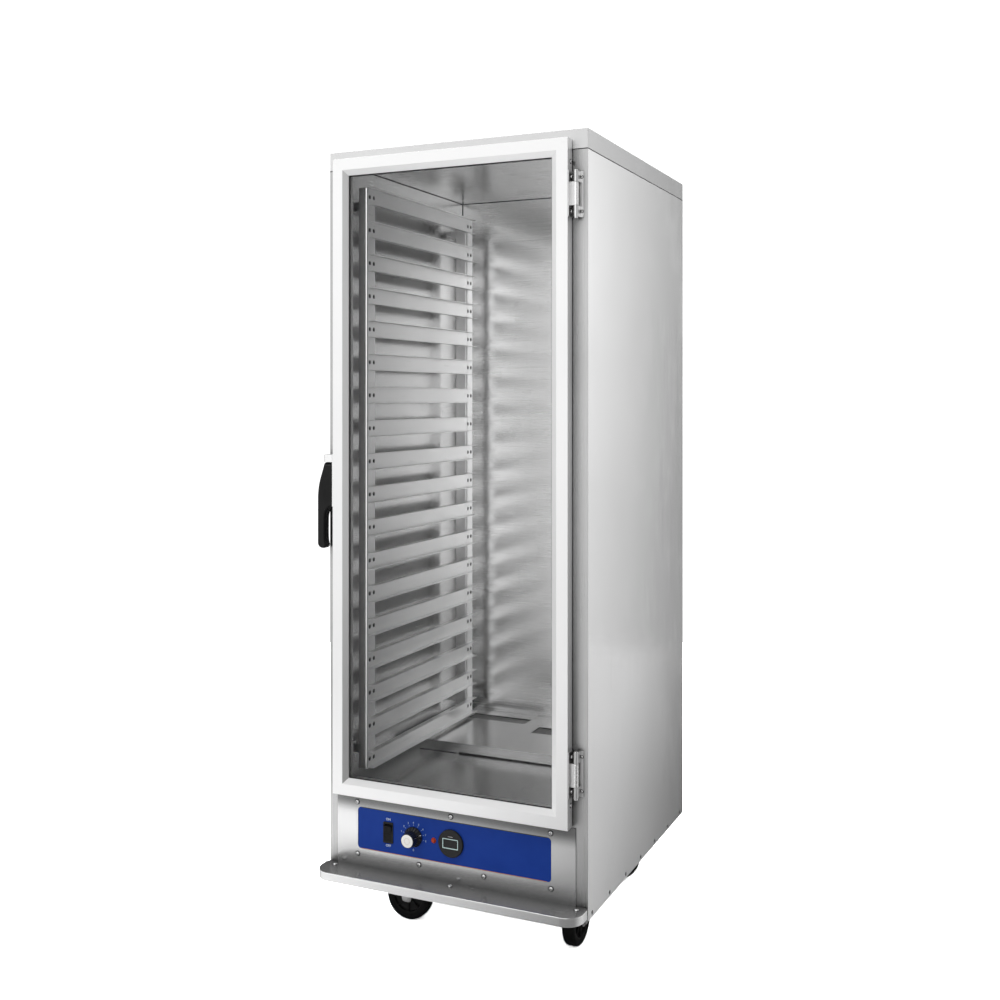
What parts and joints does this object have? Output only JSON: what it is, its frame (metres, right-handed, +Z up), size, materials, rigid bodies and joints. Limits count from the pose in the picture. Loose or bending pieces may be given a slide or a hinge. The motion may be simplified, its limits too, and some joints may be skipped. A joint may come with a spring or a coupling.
{
  "type": "food holding cabinet",
  "caption": "Tall insulated holding cabinet on swivel casters, with a framed glass door hinged on the right, pan slides inside, a front bumper and a low control panel.",
  "frame": {"origin": "bottom centre of the bounding box, on the floor under the casters", "axes": "+Z up; the door, bumper and control panel face -Y; the door handle is on the -X side and the hinges on the +X side"},
  "size_m": [0.651, 0.8054, 1.795],
  "materials": {
    "stainless_panel": "satin",
    "liner_sheet": "satin",
    "insulation": "matte",
    "label_film": "satin",
    "fastener": "satin",
    "black_plastic": "satin",
    "zinc_metal": "satin",
    "lamp_lens": "gloss",
    "gauge_metal": "gloss",
    "bumper_metal": "satin",
    "rack_metal": "satin",
    "element_sheath": "matte",
    "motor_metal": "satin",
    "chrome_trim": "gloss",
    "door_aluminium": "satin",
    "door_glass": "gloss",
    "bead_aluminium": "satin",
    "gasket_rubber": "matte",
    "lever_plastic": "satin",
    "rocker_plastic": "gloss",
    "knob_plastic": "satin",
    "rotor_metal": "satin",
    "tyre_rubber": "matte"
  },
  "bodies": {
    "cabinet": {"base_pan": "stainless_panel", "side_panel_left": "stainless_panel", "side_panel_right": "stainless_panel", "back_panel": "stainless_panel", "top_cover": "stainless_panel", "front_post_left": "stainless_panel", "front_post_right": "stainless_panel", "front_header": "stainless_panel", "front_sill": "stainless_panel", "liner_left": "liner_sheet", "liner_right": "liner_sheet", "liner_back": "liner_sheet", "liner_ceiling": "liner_sheet", "liner_floor": "liner_sheet", "insulation_slabs": "insulation", "control_panel": "stainless_panel", "control_label": "label_film", "case_screws": "fastener", "switch_housing": "black_plastic", "thermostat": "zinc_metal", "indicator_lamp": "lamp_lens", "thermometer": "gauge_metal", "bumper": "bumper_metal", "rivets": "fastener", "rack_posts": "rack_metal", "pan_slides": "rack_metal", "rack_brackets": "rack_metal", "heater_cover": "liner_sheet", "heater_element": "element_sheath", "fan_motor": "motor_metal", "power_inlet": "black_plastic", "rear_cover": "stainless_panel", "hinge_frame_leaves": "chrome_trim", "hinge_pins": "chrome_trim", "latch_strike": "chrome_trim", "caster_plates": "zinc_metal", "caster_bolts": "fastener"},
    "door": {"door_stile_left": "door_aluminium", "door_stile_right": "door_aluminium", "door_rail_top": "door_aluminium", "door_rail_bottom": "door_aluminium", "door_glass": "door_glass", "glazing_beads": "bead_aluminium", "door_gasket": "gasket_rubber", "hinge_door_leaves": "chrome_trim", "latch_base": "chrome_trim", "door_screws": "fastener"},
    "latch_lever_body": {"latch_lever": "lever_plastic"},
    "latch_bolt_body": {"latch_bolt": "zinc_metal"},
    "power_rocker_body": {"power_rocker": "rocker_plastic"},
    "thermostat_knob_body": {"thermostat_knob": "knob_plastic"},
    "fan_rotor_body": {"fan_rotor": "rotor_metal"},
    "caster_fork_front_left_body": {"caster_fork_front_left": "zinc_metal"},
    "caster_wheel_front_left_body": {"caster_wheel_front_left": "tyre_rubber"},
    "caster_fork_front_right_body": {"caster_fork_front_right": "zinc_metal"},
    "caster_wheel_front_right_body": {"caster_wheel_front_right": "tyre_rubber"},
    "caster_fork_rear_left_body": {"caster_fork_rear_left": "zinc_metal"},
    "caster_wheel_rear_left_body": {"caster_wheel_rear_left": "tyre_rubber"},
    "caster_fork_rear_right_body": {"caster_fork_rear_right": "zinc_metal"},
    "caster_wheel_rear_right_body": {"caster_wheel_rear_right": "tyre_rubber"}
  },
  "joints": [
    {"name": "door_hinge", "type": "hinge", "parent": "cabinet", "child": "door", "pos_m": [0.3015, -0.34775, 1.052], "axis": [0, 0, 1], "range_deg": [0, 180]},
    {"name": "latch_turn", "type": "hinge", "parent": "door", "child": "latch_lever_body", "pos_m": [-0.2955, -0.34875, 1.072], "axis": [-1, 0, 0], "range_deg": [0, 25], "stiffness_Nm_per_rad": 0.3, "springref_deg": -11.46},
    {"name": "latch_bolt_slide", "type": "slide", "parent": "door", "child": "latch_bolt_body", "axis": [0, 0, -1], "range_m": [0, 0.0045]},
    {"name": "power_switch", "type": "hinge", "parent": "cabinet", "child": "power_rocker_body", "pos_m": [-0.1535, -0.32875, 0.255], "axis": [-1, 0, 0], "range_deg": [0, 18]},
    {"name": "thermostat_turn", "type": "hinge", "parent": "cabinet", "child": "thermostat_knob_body", "pos_m": [-0.0895, -0.34775, 0.255], "axis": [0, 1, 0], "range_deg": [-245, 35]},
    {"name": "fan_spin", "type": "hinge", "parent": "cabinet", "child": "fan_rotor_body", "pos_m": [0.0665, 0.17825, 0.34], "axis": [0, 0, 1], "continuous": true},
    {"name": "swivel_front_left", "type": "hinge", "parent": "cabinet", "child": "caster_fork_front_left_body", "pos_m": [-0.2135, -0.18575, 0.125], "axis": [0, 0, 1], "continuous": true},
    {"name": "wheel_spin_front_left", "type": "hinge", "parent": "caster_fork_front_left_body", "child": "caster_wheel_front_left_body", "pos_m": [-0.1785, -0.18575, 0.057], "axis": [0, 1, 0], "continuous": true},
    {"name": "swivel_front_right", "type": "hinge", "parent": "cabinet", "child": "caster_fork_front_right_body", "pos_m": [0.2275, -0.18575, 0.125], "axis": [0, 0, 1], "continuous": true},
    {"name": "wheel_spin_front_right", "type": "hinge", "parent": "caster_fork_front_right_body", "child": "caster_wheel_front_right_body", "pos_m": [0.2275, -0.15075, 0.057], "axis": [-1, 0, 0], "continuous": true},
    {"name": "swivel_rear_left", "type": "hinge", "parent": "cabinet", "child": "caster_fork_rear_left_body", "pos_m": [-0.2135, 0.24175, 0.125], "axis": [0, 0, 1], "continuous": true},
    {"name": "wheel_spin_rear_left", "type": "hinge", "parent": "caster_fork_rear_left_body", "child": "caster_wheel_rear_left_body", "pos_m": [-0.1785, 0.24175, 0.057], "axis": [0, 1, 0], "continuous": true},
    {"name": "swivel_rear_right", "type": "hinge", "parent": "cabinet", "child": "caster_fork_rear_right_body", "pos_m": [0.2275, 0.24175, 0.125], "axis": [0, 0, 1], "continuous": true},
    {"name": "wheel_spin_rear_right", "type": "hinge", "parent": "caster_fork_rear_right_body", "child": "caster_wheel_rear_right_body", "pos_m": [0.1925, 0.24175, 0.057], "axis": [0, -1, 0], "continuous": true}
  ],
  "couplings": [
    {"joint": "latch_bolt_slide", "follows": "latch_turn", "m_per_rad": 0.00998}
  ]
}
